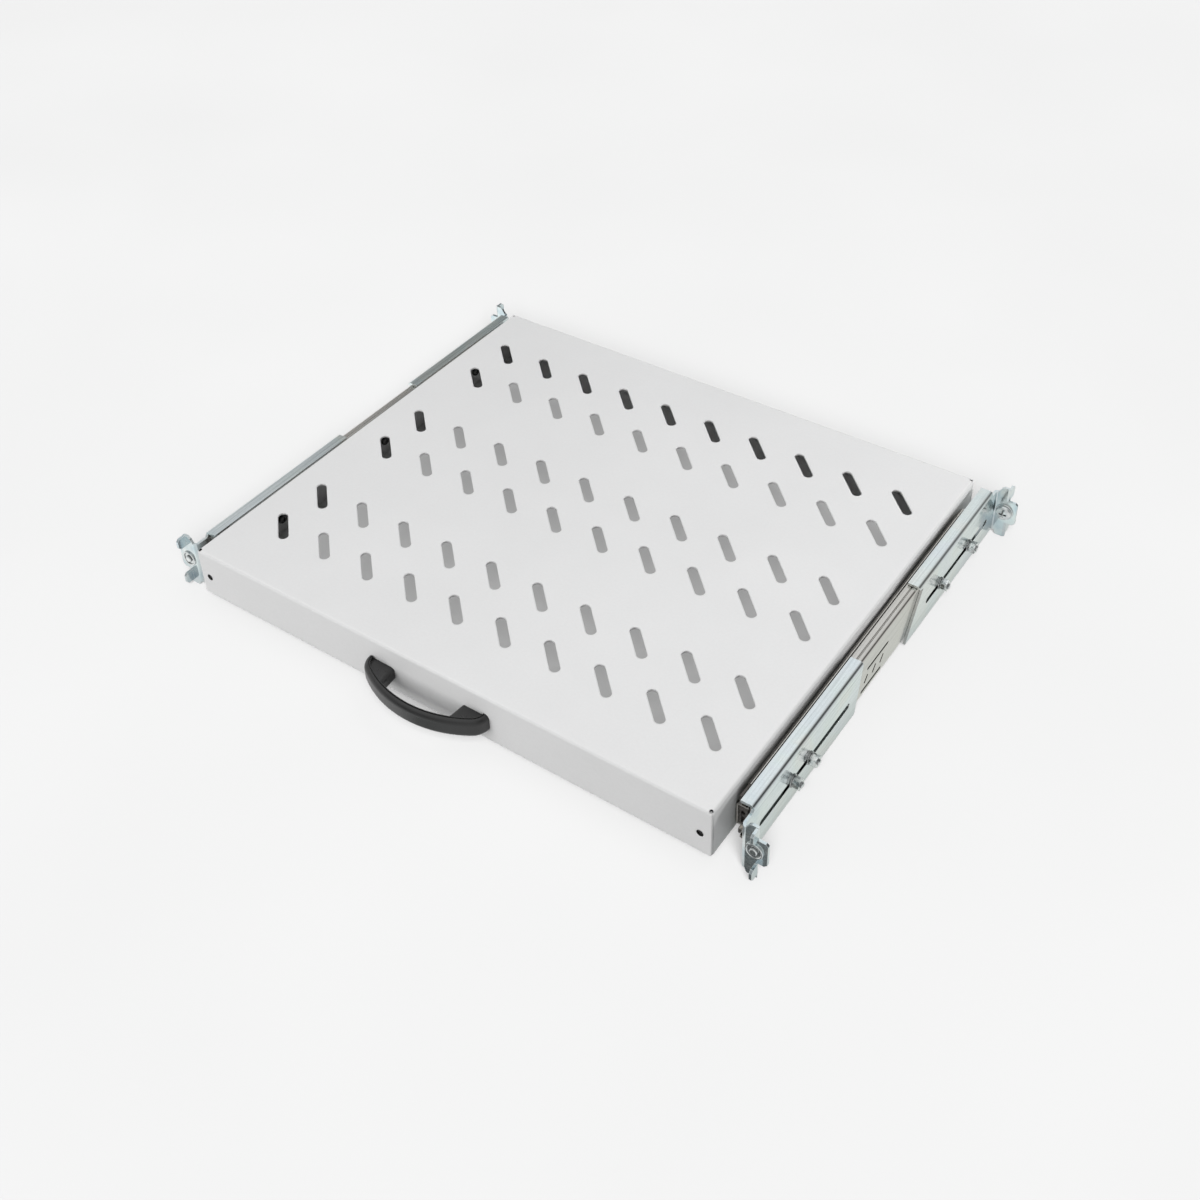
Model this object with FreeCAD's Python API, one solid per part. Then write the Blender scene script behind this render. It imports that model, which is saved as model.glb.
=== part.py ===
import FreeCAD, Part
import os
import math

# Sliding shelf for a 19-inch rack: a folded, slotted steel tray on a pair of
# three-member ball-bearing slides, held by four depth-adjustable L brackets.
# Millimetres.  +X right, -Y front (handle side), +Z up.  Z = 0 is the plane
# that the lowest bracket tongues stand on, X = 0 the symmetry plane.

V = FreeCAD.Vector
os.makedirs("parts", exist_ok=True)

# ---------------------------------------------------------------- dimensions
# rack standard
RACK_HOLES_X = 465.1        # horizontal distance between rack hole columns
RACK_HOLE_STEP = 15.875     # vertical distance between neighbouring rack holes
PANEL_W = 482.6             # overall width over the bracket ears

# tray
TRAY_W, TRAY_D, TRAY_H = 419.0, 364.0, 38.0
TRAY_T = 1.5                # sheet thickness
TRAY_Y = 4.0                # tray centre in depth
TRAY_TOP = 48.0             # height of the shelf surface
TRAY_R = 2.0                # outer bend radius
SLOT_L, SLOT_W = 29.0, 7.2  # vent slot, overall
SLOT_PITCH_X, SLOT_COLS = 39.33, 10
SLOT_ROWS = (-130.0, -90.0, -20.0, 20.0, 90.0, 130.0)
FACE_HOLE_X, FACE_HOLE_R = 201.5, 2.4
FACE_HOLE_Z = 26.3
RELIEF_R = 1.15             # corner relief
TRAY_RETURN = 26.0          # width of the inward returns under the front and back flanges
SIDE_RETURN = 14.0          # and under the side flanges

# handle
HANDLE_X = -2.5             # handle centre, a little left of the tray's
HANDLE_Z = 26.0
HANDLE_H = 14.2
HANDLE_OUT = (49.8, 23.7, 13.0)     # bow's outer outline: half width, reach, end radius
HANDLE_IN = (45.6, 19.4, 8.8)       # bow's inner outline
HANDLE_EDGE = 3.8           # rounding of the bow's outer edges
HANDLE_FOOT_H = 10.4
HANDLE_HOLES_X = 76.0

# slide, measured outwards from the inner member's tray-side face
SLIDE_Z = 23.3              # slide centre height
SLIDE_GAP = 0.5             # spacer between tray and inner member
SLIDE_X = TRAY_W / 2 + SLIDE_GAP
SLIDE_T = 12.7              # slide thickness
OUT_FRONT, OUT_REAR = -153.5, 166.5
MID_FRONT, MID_REAR = -151.5, 160.5
IN_FRONT, IN_REAR = -151.5, 160.5
OUT_T, MID_T, IN_T = 1.2, 1.0, 1.0
OUT_HALF = 17.5
BALL_OUT_R, BALL_IN_R = 1.5, 1.25
BALL_OUT_U, BALL_OUT_W = 7.8, 14.25
BALL_IN_U, BALL_IN_W = 5.9, 10.2
BALLS_PER_ROW, BALL_PITCH = 10, 15.6
CAGE_L = 156.0
CAGE_Y = 6.5                # cage centre at rest
TRAY_SCREW_Y = (-100.5, 14.0, 128.5)
SCREW_HOLE_R, SCREW_R = 1.99, 1.94

# brackets
BR_T = 2.0                  # bracket sheet
BR_X0 = SLIDE_X + SLIDE_T + 0.1     # inner face of the web
BR_X1 = BR_X0 + BR_T
BR_TOP = 43.0
BR_BOTTOM = 3.5
BR_FLANGE_X = 215.4         # inner edge of the top flange
BR_R = 3.0                  # outer radius of the flange bend
TAB_R, REAR_TAB_R = 4.0, 3.1     # outer radii of the tab bends
ADJ_SLOT_Z, ADJ_SLOT_W = 20.0, 4.6
STUD_R = 2.0
FRONT_TAB_Y = -169.0        # outer face of the front tabs
REAR_TAB_Y = 195.5          # outer face of the rear tabs
HOOK_L = 6.5                # reach of the hook lugs past the tab
FRONT_STUDS_Y = (-109.5, -88.0)
REAR_STUDS_Y = (100.5, 148.0)
FRONT_SLOT = (-149.5, -35.5)
REAR_SLOT = (77.5, 180.5)
RACK_SCREW_Z = 23.0
TAB_HOLE_R = 3.3

# ------------------------------------------------------------------- helpers


def box(x0, x1, y0, y1, z0, z1):
    return Part.makeBox(x1 - x0, y1 - y0, z1 - z0, V(x0, y0, z0))


def cyl(p, d, r, h):
    return Part.makeCylinder(r, h, V(*p), V(*d))


def prism(points, direction):
    w = Part.makePolygon([V(*p) for p in points] + [V(*points[0])])
    return Part.Face(w).extrude(V(*direction))


def prism_y(xz, y0, y1):
    return prism([(x, y0, z) for x, z in xz], (0, y1 - y0, 0))


def prism_x(yz, x0, x1):
    return prism([(x0, y, z) for y, z in yz], (x1 - x0, 0, 0))


def revolve(rz, p, d):
    """Solid of revolution of a closed (radius, height) outline about p + d."""
    pts = [V(r, 0, z) for r, z in rz]
    f = Part.Face(Part.makePolygon(pts + [pts[0]]))
    s = f.revolve(V(0, 0, 0), V(0, 0, 1), 360)
    s.Placement = FreeCAD.Placement(V(*p), FreeCAD.Rotation(V(0, 0, 1), V(*d)))
    return s


def pick(shape, test):
    return [e for e in shape.Edges if test(e)]


def along(e, axis):
    b = e.BoundBox
    size = {"x": b.XLength, "y": b.YLength, "z": b.ZLength}
    others = [v for k, v in size.items() if k != axis]
    return size[axis] > 0.2 and max(others) < 1e-4


def at(e, x=None, y=None, z=None, tol=1e-3):
    c = e.BoundBox.Center
    return all(v is None or abs(a - v) < tol for a, v in ((c.x, x), (c.y, y), (c.z, z)))


def solids(*shapes):
    out = []
    for s in shapes:
        out += s.Solids
    return Part.makeCompound(out)


def mirrored(s):
    return s.mirror(V(0, 0, 0), V(1, 0, 0))


def save(name, shape):
    for s in shape.Solids:
        assert s.isValid(), name
    c = Part.makeCompound(shape.Solids) if len(shape.Solids) > 1 else shape.Solids[0]
    c.exportStep("parts/" + name + ".step")
    b = c.BoundBox
    print("%-24s solids %3d  vol %9.1f  X %.1f..%.1f Y %.1f..%.1f Z %.1f..%.1f"
          % (name, len(shape.Solids), c.Volume, b.XMin, b.XMax, b.YMin, b.YMax, b.ZMin, b.ZMax))


def both(name, shape):
    save(name + "_right", shape)
    save(name + "_left", mirrored(shape))


def pan_head(p, d, head_r, head_h, washer_h=0.0):
    """Cross-recessed pan head standing on p along d."""
    h = head_h
    rz = [(0, 0), (head_r, 0), (head_r, 0.38 * h), (0.93 * head_r, 0.62 * h),
          (0.78 * head_r, 0.83 * h), (0.52 * head_r, 0.96 * h), (0.25 * head_r, h), (0, h)]
    head = revolve(rz, (0, 0, 0), (0, 0, 1))
    arm, wide, deep = 0.60 * head_r, 0.25 * head_r, 0.66 * h
    cone = Part.makeCone(0.16 * head_r, arm, deep + 0.2, V(0, 0, h - deep))
    cross = box(-arm, arm, -wide / 2, wide / 2, h - deep, h + 1).fuse(
        box(-wide / 2, wide / 2, -arm, arm, h - deep, h + 1)).common(cone)
    head = head.cut(cross)
    head.Placement = FreeCAD.Placement(V(*p), FreeCAD.Rotation(V(0, 0, 1), V(*d)))
    return head


def slot_x(y0, y1, z, w, x0, x1):
    """Slot along Y with round ends, cut through in X."""
    r = w / 2
    s = box(x0, x1, y0 + r, y1 - r, z - r, z + r)
    s = s.fuse(cyl((x0, y0 + r, z), (1, 0, 0), r, x1 - x0))
    return s.fuse(cyl((x0, y1 - r, z), (1, 0, 0), r, x1 - x0))


# ---------------------------------------------------------------------- tray
hw, hd = TRAY_W / 2, TRAY_D / 2
yf, yb = TRAY_Y - hd, TRAY_Y + hd
zb = TRAY_TOP - TRAY_H
tray = box(-hw, hw, yf, yb, zb, TRAY_TOP)
tray = tray.makeFillet(TRAY_R, pick(tray, lambda e: at(e, z=TRAY_TOP)))
tray = tray.makeFillet(0.8, pick(tray, lambda e: along(e, "z")))
inner = box(-hw + TRAY_T, hw - TRAY_T, yf + TRAY_T, yb - TRAY_T, zb - 1, TRAY_TOP - TRAY_T)
inner = inner.makeFillet(0.5, pick(inner, lambda e: at(e, z=TRAY_TOP - TRAY_T)))
tray = tray.cut(inner)
for y0, y1 in ((yf + 0.5, yf + TRAY_RETURN), (yb - TRAY_RETURN, yb - 0.5)):
    tray = tray.fuse(box(-hw + 0.5, hw - 0.5, y0, y1, zb, zb + TRAY_T))
for sx in (-1, 1):
    xa, xb = sx * (hw - 0.5), sx * (hw - SIDE_RETURN)
    tray = tray.fuse(box(min(xa, xb), max(xa, xb), yf + TRAY_RETURN + 0.4, yb - TRAY_RETURN - 0.4, zb, zb + TRAY_T))
tray = tray.removeSplitter()
tray = tray.makeFillet(1.2, pick(tray, lambda e: along(e, "x") and e.BoundBox.XLength > 300 and abs(e.BoundBox.Center.z - zb) < 1e-3
                                 and min(abs(e.BoundBox.Center.y - yf), abs(e.BoundBox.Center.y - yb)) < 1e-3))

cuts = []
ex = (SLOT_L - SLOT_W) / 2 / math.sqrt(2.0)
for c in range(SLOT_COLS):
    x = (c - (SLOT_COLS - 1) / 2) * SLOT_PITCH_X
    for row in SLOT_ROWS:
        y = TRAY_Y + row
        s = box(-(SLOT_L - SLOT_W) / 2, (SLOT_L - SLOT_W) / 2, -SLOT_W / 2, SLOT_W / 2, TRAY_TOP - 4, TRAY_TOP + 2)
        s.rotate(V(0, 0, 0), V(0, 0, 1), -45)
        s.translate(V(x, y, 0))
        s = s.fuse(cyl((x + ex, y - ex, TRAY_TOP - 4), (0, 0, 1), SLOT_W / 2, 6))
        s = s.fuse(cyl((x - ex, y + ex, TRAY_TOP - 4), (0, 0, 1), SLOT_W / 2, 6))
        cuts.append(s.removeSplitter())
for sx in (-1, 1):
    cuts.append(cyl((sx * FACE_HOLE_X, yf - 1, FACE_HOLE_Z), (0, 1, 0), FACE_HOLE_R, 4))
    cuts.append(cyl((HANDLE_X + sx * HANDLE_HOLES_X / 2, yf - 1, HANDLE_Z), (0, 1, 0), SCREW_HOLE_R, 4))
    for y in TRAY_SCREW_Y:
        cuts.append(cyl((sx * (hw + 1), y, SLIDE_Z), (-sx, 0, 0), SCREW_HOLE_R, 4))
    for y in (yf + 1.75, yb - 1.75):
        cuts.append(cyl((sx * (hw - 1.75), y, TRAY_TOP - 5), (0, 0, 1), RELIEF_R, 6))
    # butt seams where the side flanges meet the front and back flanges
    for y in (yf + TRAY_T, yb - TRAY_T - 0.25):
        x0 = hw - 0.45
        cuts.append(box(min(sx * x0, sx * (hw + 1)), max(sx * x0, sx * (hw + 1)), y, y + 0.25, zb - 1, TRAY_TOP - 4.5))
    # rounded lower corners of the front and back flanges
    r = 2.2
    for y in (yf - 0.5, yb - TRAY_T):
        q = box(min(sx * (hw - r), sx * (hw + 1)), max(sx * (hw - r), sx * (hw + 1)), y, y + TRAY_T + 0.5, zb - 1, zb + r)
        q = q.cut(cyl((sx * (hw - r), y - 1, zb + r), (0, 1, 0), r, TRAY_T + 3))
        cuts.append(q)
tray = tray.cut(Part.makeCompound(cuts))
save("shelf_tray", tray)

# -------------------------------------------------------------------- handle
# Bow between two outlines in plan, each a flat arc that turns into the tray
# face with a tighter arc at either end. The outer edges are rounded over, and a
# fine groove follows the inner edge above and below.


def bow_outline(half, reach, r, z0, z1, grow=0.0):
    """Solid between the tray face and a three-arc outline, from z0 to z1."""
    half, reach, r = half + grow, reach + grow, r + grow
    big = ((half - r) ** 2 + reach ** 2 - r ** 2) / (2 * (reach - r))
    xc = half - r
    d = big - r
    tx, ts = xc + r * xc / d, r * (big - reach) / d
    m = math.atan2(ts, tx - xc) / 2

    def pt(x, s):
        return V(x, yf - s, z0)

    e = [Part.Arc(pt(half, 0), pt(xc + r * math.cos(m), r * math.sin(m)), pt(tx, ts)).toShape(),
         Part.Arc(pt(tx, ts), pt(0, reach), pt(-tx, ts)).toShape(),
         Part.Arc(pt(-tx, ts), pt(-xc - r * math.cos(m), r * math.sin(m)), pt(-half, 0)).toShape(),
         Part.makeLine(pt(-half, 0), pt(half, 0))]
    return Part.Face(Part.Wire(e)).extrude(V(0, 0, z1 - z0))


za, zt = HANDLE_Z - HANDLE_H / 2, HANDLE_Z + HANDLE_H / 2
bow = bow_outline(*HANDLE_OUT, za, zt)
bow = bow.makeFillet(HANDLE_EDGE, pick(bow, lambda e: (at(e, z=za) or at(e, z=zt)) and e.BoundBox.YLength > 0.01))
bow = bow.cut(bow_outline(*HANDLE_IN, za - 1, zt + 1))
for z0, z1 in ((za - 1, za + 0.8), (zt - 0.8, zt + 1)):
    bow = bow.cut(bow_outline(*HANDLE_IN, z0, z1, 1.25).cut(bow_outline(*HANDLE_IN, z0 - 1, z1 + 1, 0.6)))
core = bow_outline(*HANDLE_IN, 0, 60, 1.0)
feet = []
for sx in (-1, 1):
    pts = [(sx * 28.2, yf), (sx * 26.6, yf - 16.5), (sx * 47.0, yf - 16.5), (sx * 47.0, yf)]
    f = prism([(x, y, 0) for x, y in pts], (0, 0, HANDLE_FOOT_H))
    f.translate(V(0, 0, HANDLE_Z - HANDLE_FOOT_H / 2))
    f = f.makeFillet(2.6, pick(f, lambda e: abs(e.BoundBox.YLength - 16.5) < 0.1 and abs(e.BoundBox.Center.x) < 40 and e.BoundBox.ZLength < 0.1))
    feet.append(f.common(core))
handle = bow.fuse(feet).removeSplitter()
for sx in (-1, 1):
    handle = handle.cut(cyl((sx * HANDLE_HOLES_X / 2, yf + 1, HANDLE_Z), (0, -1, 0), SCREW_HOLE_R, 9.5))
handle.translate(V(HANDLE_X, 0, 0))
save("handle", handle)

hs = []
for sx in (-1, 1):
    x = HANDLE_X + sx * HANDLE_HOLES_X / 2
    hs.append(pan_head((x, yf + TRAY_T, HANDLE_Z), (0, 1, 0), 3.9, 2.6).fuse(
        cyl((x, yf + TRAY_T + 0.3, HANDLE_Z), (0, -1, 0), SCREW_R, 9.3)).removeSplitter())
save("handle_screws", solids(*hs))

# --------------------------------------------------------------------- slide


def uw(u, w):
    return SLIDE_X + u, SLIDE_Z + w


def profile(upper, y0, y1):
    lower = [(u, -w) for u, w in reversed(upper)]
    pts = []
    for p in upper + lower:
        if not pts or abs(p[0] - pts[-1][0]) + abs(p[1] - pts[-1][1]) > 1e-9:
            pts.append(p)
    if abs(pts[0][0] - pts[-1][0]) + abs(pts[0][1] - pts[-1][1]) < 1e-9:
        pts.pop()
    return prism_y([uw(u, w) for u, w in pts], y0, y1)


def round_long(s, corners, r):
    es = []
    for u, w in corners:
        for sw in (1, -1):
            x, z = uw(u, sw * w)
            es += pick(s, lambda e: along(e, "y") and at(e, x=x, z=z) and e.BoundBox.YLength > 100)
    return s.makeFillet(r, es)


# outer member: channel whose flanges carry the outer ball tracks
T = SLIDE_T
outer = profile([(T, 0), (T, OUT_HALF), (9.3, OUT_HALF), (8.8, OUT_HALF - 0.65), (8.3, OUT_HALF - 0.65), (8.1, OUT_HALF - 0.1),
                 (4.2, OUT_HALF - 0.1), (4.2, 15.1), (4.9, 15.1), (4.9, 15.9), (10.1, 15.9), (10.7, 16.3), (T - OUT_T, 16.3), (T - OUT_T, 0)],
                OUT_FRONT, OUT_REAR)
outer = round_long(outer, [(T, OUT_HALF)], 2.0)
outer = round_long(outer, [(4.2, OUT_HALF - 0.1)], 0.7)
x_in, x_out = SLIDE_X + T - OUT_T - 0.5, SLIDE_X + T + 0.5
cuts = []
for y in FRONT_STUDS_Y + REAR_STUDS_Y:
    cuts.append(cyl((x_in, y, ADJ_SLOT_Z), (1, 0, 0), STUD_R, 3))
    cuts.append(cyl((x_in, y, ADJ_SLOT_Z), (1, 0, 0), 3.3, 1.05))
# lanced field between the brackets
cuts.append(slot_x(-7.5, 23.5, 26.2, 2.1, x_in, x_out))
cuts.append(slot_x(-14.5, 14.5, 10.6, 2.1, x_in, x_out))
for y in (14.5, 3.5, -8.0):
    s = box(x_in, x_out, -3.2, 3.2, -1.15, 1.15)
    s.rotate(V(0, 0, 0), V(1, 0, 0), 50)
    s.translate(V(0, y, 18.4))
    cuts.append(s)
outer = outer.cut(Part.makeCompound(cuts))
both("outer_rail", outer)

# intermediate member: channel inside the outer one, raised ball tracks and lips turned to the tray
mid = profile([(10.2, 0), (10.2, 12.6), (3.4, 12.6), (3.4, 16.3), (2.7, 16.3), (0.7, 14.9), (0.7, 13.9), (2.4, 15.1), (2.4, 11.6), (9.2, 11.6), (9.2, 0)], MID_FRONT, MID_REAR)
mid = round_long(mid, [(10.2, 12.6)], 0.9)
mid = round_long(mid, [(2.7, 16.3), (3.4, 16.3)], 0.25)
cuts = []
for sw in (1, -1):
    x0, z0 = uw(0.3, 12.6 * sw)
    x1, z1 = uw(4.1, 17.5 * sw)
    cuts.append(box(x0, x1, MID_FRONT - 1, MID_FRONT + 11, min(z0, z1), max(z0, z1)))
for y in (MID_FRONT + 40, 0.0, MID_REAR - 40):
    x0, z0 = uw(8.0, 0)
    cuts.append(slot_x(y - 9, y + 9, z0, 7.0, x0, x0 + 4))
mid = mid.cut(Part.makeCompound(cuts))
both("intermediate_rail", mid)

bump = []
for sw in (1, -1):
    x0, z0 = uw(1.9, 12.6 * sw)
    x1, z1 = uw(3.6, 16.5 * sw)
    b = box(x0, x1, MID_FRONT, MID_FRONT + 10.5, min(z0, z1), max(z0, z1))
    b = b.makeFillet(0.5, pick(b, lambda e: along(e, "y") and at(e, z=z1)))
    bump.append(b)
both("rail_clip", solids(*bump))

# inner member: channel screwed to the tray side
inn = profile([(0, 0), (0, 8.8), (7.4, 8.8), (7.4, 9.6), (8.2, 9.6), (8.2, 7.8), (1.2, 7.8), (1.2, 0)], IN_FRONT, IN_REAR)
inn = round_long(inn, [(0, 8.8)], 0.9)
inn = round_long(inn, [(7.4, 9.6), (8.2, 9.6)], 0.3)
cuts = [cyl((SLIDE_X - 1, y, SLIDE_Z), (1, 0, 0), SCREW_HOLE_R, 4) for y in TRAY_SCREW_Y]
cuts += [slot_x(y - 8, y + 8, SLIDE_Z, 6.0, SLIDE_X - 1, SLIDE_X + 3) for y in (-44.0, 71.0)]
inn = inn.cut(Part.makeCompound(cuts))
both("inner_rail", inn)

# front stop: moulded plug in the mouth of the inner member, with a cross slot
x0, z0 = uw(1.2, -7.7)
x1, z1 = uw(8.3, 7.7)
plug = box(x0, x1, IN_FRONT - 0.6, IN_FRONT + 9.0, z0, z1)
plug = plug.makeFillet(1.4, pick(plug, lambda e: at(e, y=IN_FRONT - 0.6)))
plug = plug.cut(box(x0 + 2.6, x1 - 2.0, IN_FRONT - 2.0, IN_FRONT + 1.6, z0 + 2.6, z1 - 2.6))
plug = plug.fuse(box(x0 + 2.6, x1 - 2.0, IN_FRONT + 0.2, IN_FRONT + 1.6, SLIDE_Z - 1.0, SLIDE_Z + 1.0)).removeSplitter()
both("inner_rail_stop", plug)

# ball retainers and balls
y0, y1 = CAGE_Y - CAGE_L / 2, CAGE_Y + CAGE_L / 2
ball_y = [CAGE_Y + (i - (BALLS_PER_ROW - 1) / 2) * BALL_PITCH for i in range(BALLS_PER_ROW)]
w = BALL_OUT_W
cage = profile([(11.1, 0), (11.1, w + 0.3), (6.0, w + 0.3), (6.0, w - 0.3), (10.5, w - 0.3), (10.5, 0)], y0, y1)
cuts = []
for y in ball_y:
    x, z = uw(BALL_OUT_U, -20)
    cuts.append(cyl((x, y, z), (0, 0, 1), BALL_OUT_R + 0.06, 40))
for y in (CAGE_Y - 45, CAGE_Y, CAGE_Y + 45):
    x, z = uw(9.5, 0)
    cuts.append(slot_x(y - 12, y + 12, z, 12.0, x, x + 3))
cage = cage.cut(Part.makeCompound(cuts))
both("outer_ball_cage", cage)
balls = []
for y in ball_y:
    for sw in (1, -1):
        x, z = uw(BALL_OUT_U, sw * BALL_OUT_W)
        balls.append(Part.makeSphere(BALL_OUT_R, V(x, y, z)))
both("outer_balls", solids(*balls))

w = BALL_IN_W
cage = profile([(8.95, 0), (8.95, w + 0.25), (4.2, w + 0.25), (4.2, w - 0.25), (8.55, w - 0.25), (8.55, 0)], y0, y1)
cuts, balls = [], []
for y in ball_y:
    x, z = uw(BALL_IN_U, -20)
    cuts.append(cyl((x, y, z), (0, 0, 1), BALL_IN_R + 0.06, 40))
    for sw in (1, -1):
        x, z = uw(BALL_IN_U, sw * BALL_IN_W)
        balls.append(Part.makeSphere(BALL_IN_R, V(x, y, z)))
for y in (CAGE_Y - 45, CAGE_Y, CAGE_Y + 45):
    x, z = uw(8.0, 0)
    cuts.append(slot_x(y - 12, y + 12, z, 9.0, x, x + 3))
cage = cage.cut(Part.makeCompound(cuts))
both("inner_ball_cage", cage)
both("inner_balls", solids(*balls))

# rubber buffers inside the closed end of the outer members
x0, z0 = uw(4.6, 0)
x1, _ = uw(T - OUT_T, 0)
buf = box(x0, x1, OUT_REAR - 4.6, OUT_REAR - 0.4, SLIDE_Z - 6.5, SLIDE_Z + 6.5)
buf = buf.makeFillet(1.2, pick(buf, lambda e: along(e, "x")))
both("rail_buffer", buf)

# tray screws with spacers between tray and inner member
scr, spc = [], []
for y in TRAY_SCREW_Y:
    p = (hw - TRAY_T, y, SLIDE_Z)
    scr.append(pan_head(p, (-1, 0, 0), 3.9, 2.5).fuse(
        cyl((hw - TRAY_T - 0.3, y, SLIDE_Z), (1, 0, 0), SCREW_R, 0.3 + TRAY_T + SLIDE_GAP + 2.4)).removeSplitter())
    spc.append(cyl((hw, y, SLIDE_Z), (1, 0, 0), 4.4, SLIDE_GAP).cut(cyl((hw - 1, y, SLIDE_Z), (1, 0, 0), 2.2, SLIDE_GAP + 2)))
both("tray_screws", solids(*scr))
both("slide_spacers", solids(*spc))

# ------------------------------------------------- bracket fasteners on slides
studs, washers, locks, nuts = [], [], [], []
WASHER_T, LOCK_T, NUT_T, NUT_AF = 0.9, 1.1, 4.0, 7.6
xs = BR_X1
for y in FRONT_STUDS_Y + REAR_STUDS_Y:
    x0 = SLIDE_X + T - OUT_T
    s = revolve([(0, 0), (3.28, 0), (3.28, 0.55), (1.98, 0.55), (1.98, xs + WASHER_T + LOCK_T + NUT_T + 0.7 - x0),
                 (1.6, xs + WASHER_T + LOCK_T + NUT_T + 1.1 - x0), (0, xs + WASHER_T + LOCK_T + NUT_T + 1.1 - x0)], (x0, y, ADJ_SLOT_Z), (1, 0, 0))
    studs.append(s)
    washers.append(revolve([(2.15, 0), (4.6, 0), (4.6, WASHER_T - 0.2), (4.4, WASHER_T), (2.15, WASHER_T)], (xs, y, ADJ_SLOT_Z), (1, 0, 0)))
    ring = revolve([(2.1, 0), (3.6, 0), (3.6, LOCK_T), (2.1, LOCK_T)], (xs + WASHER_T, y, ADJ_SLOT_Z), (1, 0, 0))
    gap = box(xs, xs + 4, y - 0.35, y + 0.35, ADJ_SLOT_Z + 1.5, ADJ_SLOT_Z + 5)
    gap.rotate(V(xs + WASHER_T + LOCK_T / 2, y, ADJ_SLOT_Z + 2.8), V(0, 0, 1), 25)
    gap.rotate(V(xs, y, ADJ_SLOT_Z), V(1, 0, 0), 40 + 0.9 * y)
    locks.append(ring.cut(gap))
    x0 = xs + WASHER_T + LOCK_T
    turn = 0.21 * y
    pts = [(x0, y + NUT_AF / math.sqrt(3) * math.cos(turn + i * math.pi / 3), ADJ_SLOT_Z + NUT_AF / math.sqrt(3) * math.sin(turn + i * math.pi / 3)) for i in range(6)]
    n = prism(pts, (NUT_T, 0, 0)).common(Part.makeSphere(4.62, V(x0 + NUT_T / 2, y, ADJ_SLOT_Z)))
    nuts.append(n.cut(cyl((x0 - 1, y, ADJ_SLOT_Z), (1, 0, 0), 1.98, NUT_T + 2)))
both("rail_studs", solids(*studs))
both("bracket_washers", solids(*washers))
both("bracket_lock_washers", solids(*locks))
both("bracket_nuts", solids(*nuts))

# ------------------------------------------------------------------- brackets
xr = RACK_HOLES_X / 2
xe = PANEL_W / 2
z_up = RACK_SCREW_Z + RACK_HOLE_STEP
z_lo = RACK_SCREW_Z - RACK_HOLE_STEP
LUG_H = 8.8
LUG_X = 235.0


def bracket(front):
    """Right-hand bracket: slotted web, top flange, tab with two hook lugs."""
    tab = FRONT_TAB_Y if front else REAR_TAB_Y
    o = -1 if front else 1                       # outward direction in Y
    t_in = tab - o * BR_T                        # inner face of the tab
    bend = TAB_R if front else REAR_TAB_R
    if front:
        near, flange = (-18.5, -26.5), (-156.5, -18.5)
        web = [(near[0], BR_TOP), (near[1], BR_BOTTOM), (tab, BR_BOTTOM), (tab, 38.5), (flange[0] - 1.5, 38.5), (flange[0], 40.0), (flange[0], BR_TOP)]
        sl = FRONT_SLOT
    else:
        flange = (64.5, 186.0)
        web = [(flange[0], BR_TOP), (flange[0], 40.5), (flange[0] + 5.0, 39.0), (48.5, BR_BOTTOM), (tab, BR_BOTTOM), (tab, 38.5), (flange[1] + 1.5, 38.5), (flange[1], 40.0), (flange[1], BR_TOP)]
        sl = REAR_SLOT
    s = prism_x(web, BR_X0, BR_X1)
    s = s.fuse(box(BR_FLANGE_X, BR_X1, flange[0], flange[1], BR_TOP - BR_T, BR_TOP))
    # tab with its upper and lower tongues and the outer ear
    up, lo = z_up + LUG_H / 2, z_lo - LUG_H / 2
    outline = [(BR_X0, BR_BOTTOM), (226.6, BR_BOTTOM), (227.2, 1.2), (228.4, 0.0), (LUG_X, 0.0), (LUG_X, lo + LUG_H + 1.4),
               (xe - 2.2, lo + LUG_H + 1.4), (xe, lo + LUG_H + 3.6), (xe, up - LUG_H - 3.2), (xe - 1.6, up - LUG_H - 1.6),
               (LUG_X, up - LUG_H - 1.6), (LUG_X, up + 0.5), (230.2, up + 0.5), (228.2, up - 0.8), (225.8, 38.5), (BR_X0, 38.5)]
    ya, yb_ = min(tab, t_in), max(tab, t_in)
    plate = prism_y(outline, ya, yb_)
    s = s.fuse(plate)
    lead = 1.8
    for zc in (z_up, z_lo):
        tip = tab + o * HOOK_L
        a, b = zc - LUG_H / 2, zc + LUG_H / 2
        lug = prism_x([(t_in, a), (tip - o * lead, a), (tip, a + lead), (tip, b - lead), (tip - o * lead, b), (t_in, b)], LUG_X - BR_T, LUG_X)
        s = s.fuse(lug)
    s = s.removeSplitter()
    # bends
    s = s.makeFillet(BR_R, pick(s, lambda e: along(e, "y") and at(e, x=BR_X1, z=BR_TOP)))
    s = s.makeFillet(bend, pick(s, lambda e: along(e, "z") and at(e, x=BR_X0, y=tab)))
    s = s.makeFillet(bend - BR_T, pick(s, lambda e: along(e, "z") and at(e, x=BR_X1, y=t_in) and e.BoundBox.ZLength > 20))
    s = s.makeFillet(1.9, pick(s, lambda e: along(e, "z") and at(e, x=LUG_X, y=t_in) and abs(abs(e.BoundBox.Center.z - RACK_SCREW_Z) - RACK_HOLE_STEP) < 4.0))
    # slot, rack screw hole
    s = s.cut(slot_x(sl[0], sl[1], ADJ_SLOT_Z, ADJ_SLOT_W, BR_X0 - 1, BR_X1 + 1))
    s = s.cut(cyl((xr, ya - 1, RACK_SCREW_Z), (0, 1, 0), TAB_HOLE_R, BR_T + 2))
    return s


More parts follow.
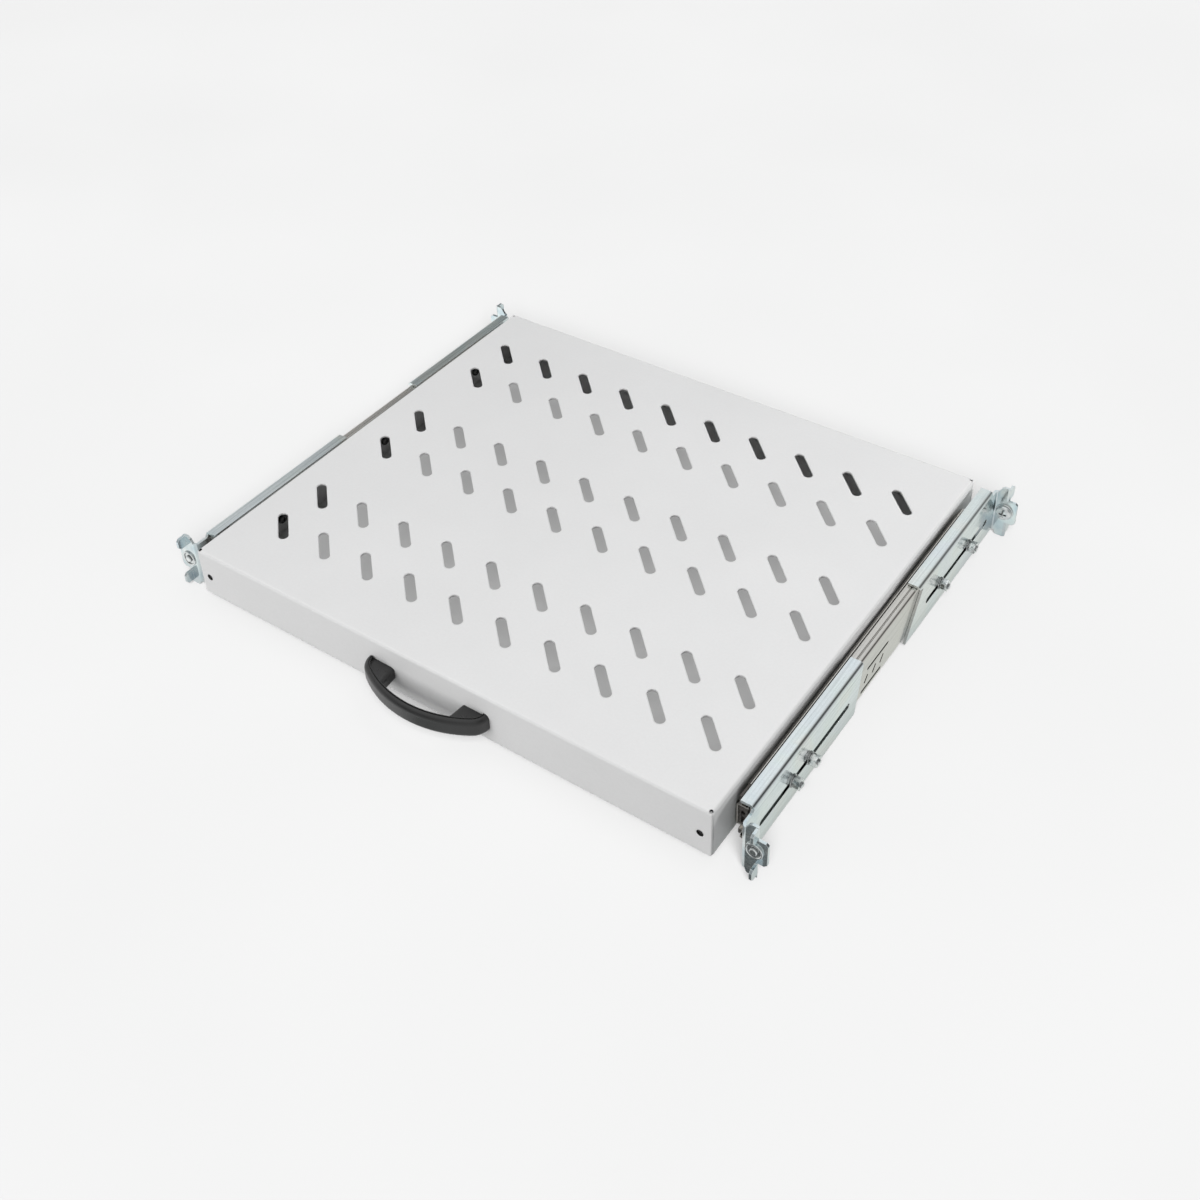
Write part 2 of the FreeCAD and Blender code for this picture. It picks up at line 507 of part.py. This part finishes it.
for front in (True, False):
    tag = "front" if front else "rear"
    tab = FRONT_TAB_Y if front else REAR_TAB_Y
    o = -1 if front else 1
    t_in = tab - o * BR_T
    both(tag + "_bracket", bracket(front))
    # captive rack screw: head inside, relieved neck, free end outside the tab.
    # The front ones are drawn back so that only their dog points stand out.
    wash, wr = 0.9, (5.6 if front else 6.6)
    tip, r_end = (2.0, 2.6) if front else (6.0, 3.0)
    head = pan_head((xr, t_in - o * wash, RACK_SCREW_Z), (0, -o, 0), 5.7, 3.4)
    L0 = BR_T + wash
    neck = revolve([(0, -0.4), (2.4, -0.4), (2.4, L0 + 0.45), (r_end, L0 + 0.6), (r_end, L0 + tip - 0.5), (r_end - 0.5, L0 + tip), (0, L0 + tip)],
                   (xr, t_in - o * wash, RACK_SCREW_Z), (0, o, 0))
    both(tag + "_rack_screw", head.fuse(neck).removeSplitter())
    both(tag + "_screw_washer", revolve([(2.6, 0), (wr, 0), (wr, wash - 0.25), (wr - 0.25, wash), (2.6, wash)],
                                        (xr, t_in, RACK_SCREW_Z), (0, -o, 0)))
    both(tag + "_screw_retainer", revolve([(2.5, 0), (6.0, 0), (6.0, 0.9), (5.7, 1.2), (5.1, 1.2), (4.7, 0.9), (4.6, 0.4), (2.5, 0.4)],
                                          (xr, tab, RACK_SCREW_Z), (0, o, 0)))
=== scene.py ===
import math
import bpy
from mathutils import Matrix, Vector

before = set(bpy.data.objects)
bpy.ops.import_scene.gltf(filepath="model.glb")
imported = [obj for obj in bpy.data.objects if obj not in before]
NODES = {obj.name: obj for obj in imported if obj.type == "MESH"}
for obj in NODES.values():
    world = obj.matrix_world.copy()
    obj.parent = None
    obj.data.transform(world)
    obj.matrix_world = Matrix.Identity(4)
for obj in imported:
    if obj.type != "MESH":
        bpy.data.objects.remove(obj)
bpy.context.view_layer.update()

scene = bpy.context.scene
scene.view_settings.view_transform = "Standard"


# ---------------------------------------------------------------- node tools
class Mat:
    """A material with a Principled shader and short calls for its node tree."""

    def __init__(self, name, **sockets):
        self.m = bpy.data.materials.new(name)
        self.m.use_nodes = True
        self.nt = self.m.node_tree
        self.nt.nodes.clear()
        self.out = self.nt.nodes.new("ShaderNodeOutputMaterial")
        self.bsdf = self.nt.nodes.new("ShaderNodeBsdfPrincipled")
        self.nt.links.new(self.bsdf.outputs[0], self.out.inputs[0])
        self.tc = self.nt.nodes.new("ShaderNodeTexCoord")
        self.obj = self.tc.outputs["Object"]
        for k, v in sockets.items():
            self.bsdf.inputs[k.replace("_", " ")].default_value = v

    def link(self, a, b):
        self.nt.links.new(a, b)

    def set(self, socket, out):
        self.link(out, self.bsdf.inputs[socket])

    def stretch(self, x, y, z):
        n = self.nt.nodes.new("ShaderNodeMapping")
        n.inputs["Scale"].default_value = (x, y, z)
        self.link(self.obj, n.inputs["Vector"])
        return n.outputs[0]

    def noise(self, scale, detail=2.0, rough=0.5, at=None, distort=0.0):
        n = self.nt.nodes.new("ShaderNodeTexNoise")
        n.inputs["Scale"].default_value = scale
        n.inputs["Detail"].default_value = detail
        n.inputs["Roughness"].default_value = rough
        n.inputs["Distortion"].default_value = distort
        self.link(at or self.obj, n.inputs["Vector"])
        return n.outputs["Fac"]

    def cells(self, scale, at=None):
        n = self.nt.nodes.new("ShaderNodeTexVoronoi")
        n.inputs["Scale"].default_value = scale
        self.link(at or self.obj, n.inputs["Vector"])
        return n.outputs["Distance"]

    def ramp(self, fac, *stops, interp="LINEAR"):
        n = self.nt.nodes.new("ShaderNodeValToRGB")
        n.color_ramp.interpolation = interp
        e = n.color_ramp.elements
        while len(e) < len(stops):
            e.new(0.5)
        for el, (p, c) in zip(e, stops):
            el.position = p
            el.color = (*c, 1.0) if len(c) == 3 else c
        self.link(fac, n.inputs["Fac"])
        return n.outputs["Color"]

    def span(self, fac, a, b, c, d):
        n = self.nt.nodes.new("ShaderNodeMapRange")
        for k, v in zip(("From Min", "From Max", "To Min", "To Max"), (a, b, c, d)):
            n.inputs[k].default_value = v
        self.link(fac, n.inputs["Value"])
        return n.outputs["Result"]

    def math(self, op, a, b):
        n = self.nt.nodes.new("ShaderNodeMath")
        n.operation = op
        for i, v in enumerate((a, b)):
            if isinstance(v, (int, float)):
                n.inputs[i].default_value = v
            else:
                self.link(v, n.inputs[i])
        return n.outputs[0]

    def mix(self, fac, a, b, blend="MIX"):
        n = self.nt.nodes.new("ShaderNodeMix")
        n.data_type = "RGBA"
        n.blend_type = blend
        for s, v in ((n.inputs[0], fac), (n.inputs[6], a), (n.inputs[7], b)):
            if isinstance(v, (int, float)):
                s.default_value = v
            elif isinstance(v, tuple):
                s.default_value = (*v, 1.0)
            else:
                self.link(v, s)
        return n.outputs[2]

    def xyz(self, axis):
        n = self.nt.nodes.new("ShaderNodeSeparateXYZ")
        self.link(self.obj, n.inputs[0])
        return n.outputs[axis]

    def from_middle(self):
        """Distance in depth from the middle between the front and rear tabs."""
        return self.math("ABSOLUTE", self.math("SUBTRACT", self.xyz("Y"), 0.0133), 0.0)

    def bevel(self, radius, samples=4):
        n = self.nt.nodes.new("ShaderNodeBevel")
        n.samples = samples
        n.inputs["Radius"].default_value = radius
        return n.outputs[0]

    def edge(self, radius, gain, samples=4):
        """0 on flat faces, rising to 1 along the edges of the sheet."""
        g = self.nt.nodes.new("ShaderNodeNewGeometry")
        d = self.nt.nodes.new("ShaderNodeVectorMath")
        d.operation = "DOT_PRODUCT"
        self.link(self.bevel(radius, samples), d.inputs[0])
        self.link(g.outputs["True Normal"], d.inputs[1])
        return self.span(d.outputs["Value"], 1.0, 1.0 - gain, 0.0, 1.0)

    def crevice(self, distance, samples=6):
        """1 on open faces, falling towards 0 in corners between pieces."""
        n = self.nt.nodes.new("ShaderNodeAmbientOcclusion")
        n.samples = samples
        n.inputs["Distance"].default_value = distance
        return n.outputs["AO"]

    def bends(self, a, b):
        """0 on faces square to the axes, 1 on the bends between them."""
        g = self.nt.nodes.new("ShaderNodeNewGeometry")
        n = self.nt.nodes.new("ShaderNodeSeparateXYZ")
        self.link(g.outputs["Normal"], n.inputs[0])
        top = 0.0
        for axis in "XYZ":
            top = self.math("MAXIMUM", self.math("ABSOLUTE", n.outputs[axis], 0.0), top)
        return self.span(top, 1.0 - a, 1.0 - b, 0.0, 1.0)

    def within(self, a, b, ra, rb):
        """1 inside four round bores at (+-a, b) across the X and `rb` axes."""
        dx = self.math("SUBTRACT", self.math("ABSOLUTE", self.xyz("X"), 0.0), a)
        dz = self.math("SUBTRACT", self.xyz(rb), b)
        if rb == "Y":
            dz = self.math("SUBTRACT", self.math("ABSOLUTE", self.math("SUBTRACT", self.xyz("Y"), 0.004), 0.0), b)
        r2 = self.math("ADD", self.math("MULTIPLY", dx, dx), self.math("MULTIPLY", dz, dz))
        return self.math("LESS_THAN", r2, ra * ra)

    def bump(self, height, strength, distance, normal=None):
        n = self.nt.nodes.new("ShaderNodeBump")
        n.inputs["Strength"].default_value = strength
        n.inputs["Distance"].default_value = distance
        self.link(height, n.inputs["Height"])
        if normal is not None:
            self.link(normal, n.inputs["Normal"])
        return n.outputs[0]


def grey(v):
    return (v, v, v)


# ---------------------------------------------------------------- finishes
def powder_coat():
    """Light-grey powder coat: fine orange peel and faint cloudiness."""
    k = Mat("powder_coat_light_grey", IOR=1.5)
    cloud = k.noise(14.0, 3.0, 0.55)
    fine = k.noise(520.0, 2.0, 0.6)
    body = k.ramp(cloud, (0.30, grey(0.765)), (0.72, grey(0.79)))
    speck = k.ramp(fine, (0.32, grey(0.98)), (0.66, grey(1.0)))
    col = k.mix(1.0, body, speck, "MULTIPLY")
    # painted shade: the walls of the punched holes in the front flange and the front corners are painted near-black
    face = k.math("MULTIPLY", k.within(0.2015, 0.0263, 0.00243, "Z"), k.math("LESS_THAN", k.xyz("Y"), -0.1))
    corner = k.math("MULTIPLY", k.within(0.20775, 0.18025, 0.00118, "Y"), k.math("LESS_THAN", k.xyz("Y"), 0.0))
    hole_shade = k.math("MAXIMUM", face, corner)
    col = k.mix(hole_shade, col, k.ramp(fine, (0.3, grey(0.02)), (0.7, grey(0.035))))
    # painted shade: about 10% darker over the bends, toning down their highlight, and darker still in narrow gaps by
    # ambient occlusion
    col = k.mix(1.0, col, k.ramp(k.bends(0.01, 0.22), (0.0, grey(1.0)), (1.0, grey(0.90))), "MULTIPLY")
    crevice_shade = k.ramp(k.crevice(0.014, 4), (0.06, grey(0.16)), (0.26, grey(0.50)), (0.50, grey(1.0)))
    k.set("Base Color", k.mix(1.0, col, crevice_shade, "MULTIPLY"))
    k.set("Roughness", k.span(k.noise(260.0, 2.0), 0.3, 0.7, 0.42, 0.52))
    peel = k.noise(1250.0, 2.0, 0.5)
    k.set("Normal", k.bump(peel, 0.16, 0.0001, k.bevel(0.0014, 6)))
    return k.m


def zinc(name, tint, along=(900.0, 14.0, 900.0), rough=(0.10, 0.20), hue=0.5, edge_r=0.0004, slot_z=None, rim=None, groove=None):
    """Passivated zinc on rolled sheet: streaks along the strip and a faint coloured bloom.

    The faces across a long slot at height slot_z are painted dark grey, as painted shade inside the slot; rim is the
    colour of a painted highlight along the sheet edges, and groove the distance within which grooves and corners get
    painted shade.
    """
    k = Mat(name, Metallic=1.0)
    roll = k.noise(1.0, 3.0, 0.55, k.stretch(*along))
    bloom = k.noise(26.0, 2.0, 0.55, distort=0.6)
    hues = k.ramp(
        bloom,
        (0.28, (0.74, 0.82, 0.86)),
        (0.42, (0.80, 0.84, 0.87)),
        (0.52, (0.78, 0.86, 0.84)),
        (0.62, (0.85, 0.85, 0.79)),
        (0.74, (0.82, 0.81, 0.86)),
    )
    col = k.mix(hue, tint, hues)
    col = k.mix(1.0, col, k.ramp(roll, (0.30, grey(0.80)), (0.45, grey(0.93)), (0.62, grey(1.0))), "MULTIPLY")
    spots = k.ramp(k.noise(420.0, 3.0, 0.6), (0.30, grey(0.95)), (0.55, grey(1.0)))
    col = k.mix(1.0, col, spots, "MULTIPLY")
    if slot_z is not None:
        g = k.nt.nodes.new("ShaderNodeNewGeometry")
        n = k.nt.nodes.new("ShaderNodeSeparateXYZ")
        k.link(g.outputs["Normal"], n.inputs[0])
        level = k.math("MULTIPLY", n.outputs["Z"], n.outputs["Z"])
        near = k.math("ABSOLUTE", k.math("SUBTRACT", k.xyz("Z"), slot_z), 0.0)
        inside = k.math("LESS_THAN", near, 0.0028)
        # painted shade: faces across the slot at slot_z are painted dark grey
        slot_shade = k.math("MULTIPLY", inside, k.span(level, 0.25, 0.6, 0.0, 1.0))
        col = k.mix(slot_shade, col, k.ramp(roll, (0.3, (0.24, 0.27, 0.27)), (0.7, (0.36, 0.40, 0.40))))
        # the rack tabs at both ends get a bluer, darker colour: partly the plating's own hue, partly painted dark
        # reflection on the tabs
        blue = k.ramp(
            k.noise(95.0, 2.0, 0.5),
            (0.32, (0.54, 0.65, 0.70)),
            (0.48, (0.66, 0.75, 0.77)),
            (0.66, (0.79, 0.84, 0.83)),
        )
        col = k.mix(k.span(k.from_middle(), 0.155, 0.178, 0.0, 0.8), col, blue)
        # painted shade: the bracket is painted darker towards its bottom, near the floor
        low_shade = k.span(k.xyz("Z"), 0.006, 0.026, 0.0, 1.0)
        col = k.mix(1.0, col, k.ramp(low_shade, (0.0, (0.76, 0.76, 0.77)), (0.6, grey(0.93)), (1.0, grey(1.0))), "MULTIPLY")
    if groove is not None:
        # painted shade: grooves and corners darkened by ambient occlusion
        crevice_shade = k.ramp(k.crevice(groove), (0.25, grey(0.30)), (0.60, grey(0.82)), (0.85, grey(1.0)))
        col = k.mix(1.0, col, crevice_shade, "MULTIPLY")
    if rim is not None:
        # painted highlight: the sheet edges take the pale rim colour and turn less metallic, so they read as bright
        # lines
        edge_highlight = k.edge(0.0005, 0.24)
        col = k.mix(edge_highlight, col, rim)
        k.set("Metallic", k.span(edge_highlight, 0.0, 1.0, 1.0, 0.15))
    k.set("Base Color", col)
    k.set("Roughness", k.span(roll, 0.25, 0.75, *rough))
    k.set("Normal", k.bump(roll, 0.08, 0.00005, k.bevel(edge_r)))
    return k.m


def turned_zinc(name, tint, rough=(0.07, 0.15)):
    """Small plated hardware: bright, lightly tumbled."""
    k = Mat(name, Metallic=1.0)
    blot = k.noise(320.0, 3.0, 0.6)
    col = k.mix(
        0.7, tint, k.ramp(blot, (0.36, (0.20, 0.23, 0.23)), (0.47, (0.62, 0.66, 0.66)), (0.56, (0.96, 0.97, 0.96)))
    )
    open_ = k.crevice(0.0028)
    # painted shade: darker in crevices by ambient occlusion
    crevice_shade = k.ramp(open_, (0.30, grey(0.06)), (0.70, grey(0.60)), (0.95, grey(1.0)))
    col = k.mix(1.0, col, crevice_shade, "MULTIPLY")
    # painted shade: the edges are painted nearly black as dark outlines
    edge_shade = k.ramp(k.edge(0.0004, 0.12), (0.15, grey(1.0)), (0.8, grey(0.08)))
    col = k.mix(1.0, col, edge_shade, "MULTIPLY")
    # the screws and rings at the rack tabs are plainer than the nuts
    plain = k.ramp(blot, (0.3, (0.66, 0.70, 0.72)), (0.55, (0.80, 0.83, 0.82)), (0.75, (0.76, 0.77, 0.79)))
    # the plainer finish also gets painted shade in its crevices
    plain = k.mix(1.0, plain, k.ramp(open_, (0.22, grey(0.16)), (0.62, grey(0.80)), (0.85, grey(1.0))), "MULTIPLY")
    k.set("Base Color", k.mix(k.math("GREATER_THAN", k.from_middle(), 0.16), col, plain))
    k.set("Roughness", k.span(k.noise(900.0, 2.0), 0.3, 0.7, *rough))
    k.set("Normal", k.bump(k.noise(1600.0, 2.0), 0.06, 0.00004, k.bevel(0.0002)))
    return k.m


def black_steel():
    """Blackened screw steel."""
    k = Mat("blackened_screw_steel", Metallic=1.0)
    k.set("Base Color", k.ramp(k.noise(400.0, 3.0, 0.6), (0.3, grey(0.028)), (0.7, grey(0.05))))
    k.set("Roughness", k.span(k.noise(700.0, 2.0), 0.3, 0.7, 0.34, 0.48))
    k.set("Normal", k.bump(k.noise(1500.0, 2.0), 0.08, 0.00005, k.bevel(0.0002)))
    return k.m


def satin_plastic():
    """Moulded black plastic with a fine spark-eroded grain."""
    k = Mat("satin_black_plastic", IOR=1.48, Specular_IOR_Level=0.72)
    tone = k.noise(60.0, 3.0, 0.5)
    k.set("Base Color", k.ramp(tone, (0.3, grey(0.008)), (0.7, (0.012, 0.012, 0.0122))))
    grain = k.noise(2400.0, 2.0, 0.6)
    k.set("Roughness", k.span(k.noise(500.0, 2.0), 0.3, 0.7, 0.27, 0.35))
    k.set("Normal", k.bump(grain, 0.16, 0.00007, k.bevel(0.0005)))
    return k.m


def clip_plastic():
    k = Mat("black_clip_plastic", IOR=1.46)
    k.set("Base Color", k.ramp(k.noise(180.0, 3.0), (0.3, (0.06, 0.055, 0.05)), (0.7, (0.11, 0.10, 0.09))))
    k.set("Roughness", k.span(k.noise(700.0, 2.0), 0.3, 0.7, 0.22, 0.34))
    k.set("Normal", k.bump(k.noise(1800.0, 2.0), 0.10, 0.00006, k.bevel(0.0003)))
    return k.m


def rubber():
    k = Mat("buffer_rubber", IOR=1.5)
    dust = k.noise(150.0, 4.0, 0.6)
    k.set("Base Color", k.ramp(dust, (0.35, grey(0.016)), (0.75, (0.034, 0.033, 0.032))))
    k.set("Roughness", k.span(dust, 0.3, 0.7, 0.62, 0.80))
    k.set("Normal", k.bump(k.noise(1100.0, 3.0), 0.20, 0.0001, k.bevel(0.0004)))
    return k.m


def polished_steel():
    k = Mat("ball_steel", Metallic=1.0)
    k.set("Base Color", k.ramp(k.noise(500.0, 2.0), (0.3, (0.70, 0.70, 0.71)), (0.7, (0.80, 0.80, 0.80))))
    k.set("Roughness", k.span(k.noise(800.0, 2.0), 0.3, 0.7, 0.06, 0.13))
    return k.m


FINISH = {
    "grey_paint": powder_coat(),
    "black_plastic": satin_plastic(),
    "black_clip": clip_plastic(),
    "black_rubber": rubber(),
    "bracket_zinc": zinc("bracket_zinc_blue", (0.815, 0.875, 0.875), slot_z=0.020, rim=(0.93, 0.95, 0.95)),
    "slide_plate": zinc("slide_zinc_warm", (0.66, 0.63, 0.585), hue=0.12, rough=(0.12, 0.22), groove=0.0013),
    "cage_steel": zinc("cage_strip_steel", (0.62, 0.62, 0.61), hue=0.10, rough=(0.24, 0.38), edge_r=0.00015),
    "ball_steel": polished_steel(),
    "nut_zinc": turned_zinc("nut_zinc_bright", (0.84, 0.88, 0.87)),
    "zinc_screw": turned_zinc("screw_zinc_bright", (0.74, 0.76, 0.78), (0.10, 0.20)),
    "black_screw": black_steel(),
}
SLOT_OF = (
    ("shelf_tray", "grey_paint"),
    ("handle_screws", "zinc_screw"),
    ("handle", "black_plastic"),
    ("outer_ball_cage", "cage_steel"),
    ("inner_ball_cage", "cage_steel"),
    ("outer_balls", "ball_steel"),
    ("inner_balls", "ball_steel"),
    ("outer_rail", "slide_plate"),
    ("intermediate_rail", "slide_plate"),
    ("inner_rail_stop", "black_clip"),
    ("inner_rail", "slide_plate"),
    ("rail_clip", "black_clip"),
    ("rail_buffer", "black_rubber"),
    ("tray_screws", "black_screw"),
    ("slide_spacers", "zinc_screw"),
    ("rail_studs", "zinc_screw"),
    ("bracket_washers", "nut_zinc"),
    ("bracket_lock_washers", "nut_zinc"),
    ("bracket_nuts", "nut_zinc"),
    ("front_bracket", "bracket_zinc"),
    ("rear_bracket", "bracket_zinc"),
    ("front_rack_screw", "nut_zinc"),
    ("rear_rack_screw", "nut_zinc"),
    ("front_screw_washer", "nut_zinc"),
    ("rear_screw_washer", "nut_zinc"),
    ("front_screw_retainer", "nut_zinc"),
    ("rear_screw_retainer", "nut_zinc"),
)
for name, o in NODES.items():
    slot = next(s for stem, s in SLOT_OF if name == stem or name.startswith(stem + "_"))
    o.data.materials.clear()
    o.data.materials.append(FINISH[slot])

# ---------------------------------------------------------------- camera
cam_data = bpy.data.cameras.new("camera")
cam_data.sensor_width = 36.0
cam_data.lens = 1526.929 * 36.0 / 1200.0
cam_data.shift_y = -0.15
cam_data.clip_start, cam_data.clip_end = 0.01, 100.0
cam = bpy.data.objects.new("camera", cam_data)
scene.collection.objects.link(cam)
cam.matrix_world = Matrix(
    (
        (0.82206894, -0.31768879, 0.47252143, 0.49487453),
        (0.56878758, 0.49628810, -0.65588018, -0.67070571),
        (-0.02614098, 0.80794304, 0.58868047, 0.73962351),
        (0.0, 0.0, 0.0, 1.0),
    )
)
scene.camera = cam


# ---------------------------------------------------------------- studio
def sheet(name, half, z):
    me = bpy.data.meshes.new(name)
    me.from_pydata([(-half, -half, z), (half, -half, z), (half, half, z), (-half, half, z)], [], [(0, 1, 2, 3)])
    o = bpy.data.objects.new(name, me)
    scene.collection.objects.link(o)
    return o


# The floor that is seen, and a grey one just under it that only bounces light.
floor = sheet("floor", 30.0, 0.0)
k = Mat("floor_pale", Roughness=0.9)
k.bsdf.inputs["Specular IOR Level"].default_value = 0.0
k.set("Base Color", k.ramp(k.noise(3.0, 2.0), (0.3, grey(0.098)), (0.7, grey(0.102))))
k.bsdf.inputs["Emission Color"].default_value = (1.0, 1.0, 1.0, 1.0)
k.bsdf.inputs["Emission Strength"].default_value = 0.29
floor.data.materials.append(k.m)
floor.visible_glossy = False
floor.visible_diffuse = False
floor.visible_shadow = False

under = sheet("floor_bounce", 30.0, -0.0005)
k = Mat("floor_bounce_grey", Roughness=0.9)
k.bsdf.inputs["Specular IOR Level"].default_value = 0.0
k.set("Base Color", k.ramp(k.noise(3.0, 2.0), (0.3, grey(0.275)), (0.7, grey(0.285))))
under.data.materials.append(k.m)
under.visible_camera = False
under.visible_glossy = False


def ring_wall(name, radius, z0, z1, sides=96):
    """Pale backdrop all round, far behind the part."""
    me = bpy.data.meshes.new(name)
    turn = [2.0 * math.pi * i / sides for i in range(sides)]
    rim = [(radius * math.cos(t), radius * math.sin(t)) for t in turn]
    verts = [(x, y, z0) for x, y in rim] + [(x, y, z1) for x, y in rim]
    faces = [((i + 1) % sides, i, sides + i, sides + (i + 1) % sides) for i in range(sides)]
    me.from_pydata(verts, [], faces)
    o = bpy.data.objects.new(name, me)
    scene.collection.objects.link(o)
    return o


wall = ring_wall("backdrop", 28.0, -0.5, 24.0)
k = Mat("backdrop_pale", Roughness=0.9)
k.bsdf.inputs["Specular IOR Level"].default_value = 0.0
k.bsdf.inputs["Base Color"].default_value = (0.0, 0.0, 0.0, 1.0)
k.set("Emission Color", k.ramp(k.noise(0.4, 2.0), (0.3, grey(0.885)), (0.7, grey(0.900))))
k.bsdf.inputs["Emission Strength"].default_value = 1.0
wall.data.materials.append(k.m)
wall.visible_diffuse = False
wall.visible_glossy = False
wall.visible_shadow = False


def lamp(name, place, aim, size, power, colour=(1.0, 1.0, 1.0)):
    """Large soft box for the painted surfaces; the metals see the tent instead."""
    d = bpy.data.lights.new(name, "AREA")
    d.shape = "DISK"
    d.size = size
    d.energy = power
    d.color = colour
    o = bpy.data.objects.new(name, d)
    o.location = place
    o.rotation_mode = "QUATERNION"
    o.rotation_quaternion = (Vector(aim) - Vector(place)).to_track_quat("-Z", "Y")
    scene.collection.objects.link(o)
    o.visible_glossy = False
    o.visible_camera = False
    return o


lamp("key", (0.36, 0.05, 1.0), (0.36, 0.05, 0), 0.4, 1.65)
lamp("fill", (-0.5, -1.5, 0.65), (0, 0, 0), 1.5, 13.0)

# low soft box behind the right side, kept off the floor
side = lamp("side", (0.75, 0.45, 0.16), (0.2, 0.15, 0.045), 0.2, 2.4)
unlit = bpy.data.collections.new("all_but_floor")
unlit.objects.link(floor)
unlit.objects.link(under)
for entry in unlit.collection_objects:
    entry.light_linking.link_state = "EXCLUDE"
side.light_linking.receiver_collection = unlit

# lamp for the floor alone, from the viewing side, so that the part only darkens what is right under it
d = bpy.data.lights.new("floor_lamp", "SUN")
d.angle = math.radians(36.0)
d.energy = 0.525 / 0.10 * math.pi / 0.664
floor_lamp = bpy.data.objects.new("floor_lamp", d)
floor_lamp.location = (1.0, -0.8, 2.0)
floor_lamp.rotation_mode = "QUATERNION"
floor_lamp.rotation_quaternion = Vector((-0.444, 0.602, -0.664)).to_track_quat("-Z", "Y")
scene.collection.objects.link(floor_lamp)
lit = bpy.data.collections.new("floor_only")
lit.objects.link(floor)
floor_lamp.light_linking.receiver_collection = lit

world = bpy.data.worlds.new("studio")
scene.world = world
world.use_nodes = True
wt = world.node_tree
wt.nodes.clear()
w_out = wt.nodes.new("ShaderNodeOutputWorld")
w_bg = wt.nodes.new("ShaderNodeBackground")
wt.links.new(w_bg.outputs[0], w_out.inputs[0])
w_tc = wt.nodes.new("ShaderNodeTexCoord")
direction = w_tc.outputs["Generated"]


def w_math(op, a, b, clamp=False):
    n = wt.nodes.new("ShaderNodeMath")
    n.operation = op
    n.use_clamp = clamp
    for i, v in enumerate((a, b)):
        if isinstance(v, (int, float)):
            n.inputs[i].default_value = v
        else:
            wt.links.new(v, n.inputs[i])
    return n.outputs[0]


def w_lobe(d, power):
    """A soft card round one direction, 1 at its middle."""
    v = Vector(d).normalized()
    n = wt.nodes.new("ShaderNodeVectorMath")
    n.operation = "DOT_PRODUCT"
    wt.links.new(direction, n.inputs[0])
    n.inputs[1].default_value = v
    return w_math("POWER", w_math("MAXIMUM", n.outputs["Value"], 0.0), power)


def w_card(under_, d, power, colour, amount=1.0):
    """Lay a card of one colour into the tent."""
    n = wt.nodes.new("ShaderNodeMix")
    n.data_type = "RGBA"
    wt.links.new(w_math("MULTIPLY", w_lobe(d, power), amount), n.inputs[0])
    wt.links.new(under_, n.inputs[6])
    n.inputs[7].default_value = (*colour, 1)
    return n.outputs[2]


sep = wt.nodes.new("ShaderNodeSeparateXYZ")
wt.links.new(direction, sep.inputs[0])
height = wt.nodes.new("ShaderNodeValToRGB")
e = height.color_ramp.elements
stops = [
    (-1.0, 0.72),
    (-0.5, 0.80),
    (0.0, 0.80),
    (0.3, 0.66),
    (0.6, 0.72),
    (0.8, 0.88),
    (1.0, 0.92),
]
while len(e) < len(stops):
    e.new(0.5)
for el, (p, c) in zip(e, stops):
    el.position = p * 0.5 + 0.5
    el.color = (c, c, c, 1.0)
half_turn = w_math("ADD", w_math("MULTIPLY", sep.outputs["Z"], 0.5), 0.5)
wt.links.new(half_turn, height.inputs["Fac"])
col = height.outputs["Color"]
# pale cards
col = w_card(col, (-0.29, 0.60, 0.74), 16.0, (0.92, 0.94, 0.96))
col = w_card(col, (0.29, 0.62, -0.72), 14.0, (0.75, 0.78, 0.755))
col = w_card(col, (-0.22, -0.80, -0.56), 60.0, (0.74, 0.84, 0.82))
col = w_card(col, (-0.46, -0.62, -0.63), 26.0, (1.34, 1.37, 1.37))
col = w_card(col, (-0.64, -0.45, -0.63), 60.0, (0.98, 0.98, 0.97))
# dark cards
col = w_card(col, (0.86, 0.10, 0.50), 5.0, (0.06, 0.06, 0.06), 0.70)
col = w_card(col, (0.70, 0.58, 0.40), 10.0, (0.03, 0.03, 0.03), 0.96)
col = w_card(col, (-0.31, -0.53, -0.785), 58.0, (0.06, 0.065, 0.065), 1.0)
col = w_card(col, (-0.62, 0.66, 0.44), 30.0, (0.14, 0.15, 0.15), 0.5)
col = w_card(col, (-0.563, 0.64, 0.52), 90.0, (0.12, 0.13, 0.13), 0.75)
col = w_card(col, (-0.40, -0.88, 0.22), 9.0, (0.05, 0.05, 0.05), 0.75)
wt.links.new(col, w_bg.inputs["Color"])
w_bg.inputs["Strength"].default_value = 1.0

# ---------------------------------------------------------------- hand over
bpy.context.view_layer.update()
